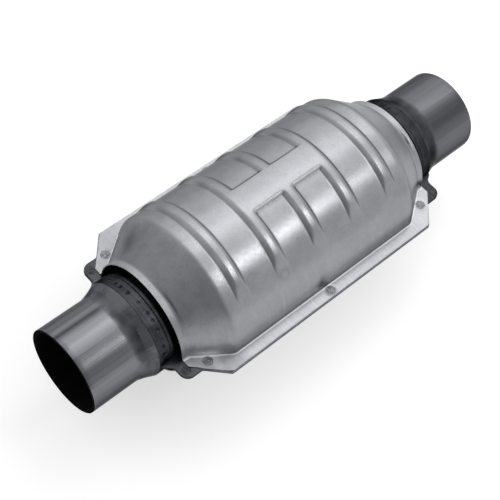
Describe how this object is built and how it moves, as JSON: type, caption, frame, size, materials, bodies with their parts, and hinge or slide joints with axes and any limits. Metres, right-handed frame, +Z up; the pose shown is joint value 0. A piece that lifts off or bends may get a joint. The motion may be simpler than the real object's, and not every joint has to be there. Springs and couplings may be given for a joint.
{
  "type": "catalytic converter",
  "caption": "Round catalytic converter: clamshell body with seam flange and ears, stamped ribbed heat shield, honeycombs in mats, flared pipe at each end.",
  "frame": {"origin": "on the gas axis, half way between the two pipe ends", "axes": "+X along the gas path from inlet to outlet, +Z up and square to the flanges, +Y sideways in the flange plane"},
  "size_m": [0.355, 0.1382, 0.123],
  "materials": {
    "shield_steel": "pressed sheet, satin, with soft reflections",
    "body_steel": "pressed sheet, darker and greyer than the shield",
    "pipe_steel": "drawn tube with lengthwise marks and a faint heat tint",
    "weld_metal": "matt weld bead",
    "weld_spot": "spot weld, a little darker than the sheet, with a ring",
    "honeycomb_ceramic": "matt porous coated ceramic",
    "mat_fibre": "matt swelling fibre mat",
    "seal_mesh": "knitted wire pressed to a ring"
  },
  "bodies": {
    "root": {"shell_upper": "body_steel", "shell_lower": "body_steel", "heat_shield_upper": "shield_steel", "heat_shield_lower": "shield_steel", "shield_spot_welds": "weld_spot", "ear_spot_welds": "weld_spot", "inlet_pipe": "pipe_steel", "outlet_pipe": "pipe_steel", "inlet_weld": "weld_metal", "outlet_weld": "weld_metal", "inlet_inner_cone": "body_steel", "outlet_inner_cone": "body_steel", "front_substrate": "honeycomb_ceramic", "rear_substrate": "honeycomb_ceramic", "front_mat": "mat_fibre", "rear_mat": "mat_fibre", "front_mat_inlet_seal": "seal_mesh", "front_mat_inner_seal": "seal_mesh", "rear_mat_inner_seal": "seal_mesh", "rear_mat_outlet_seal": "seal_mesh", "spacer_ring": "body_steel"}
  },
  "joints": []
}
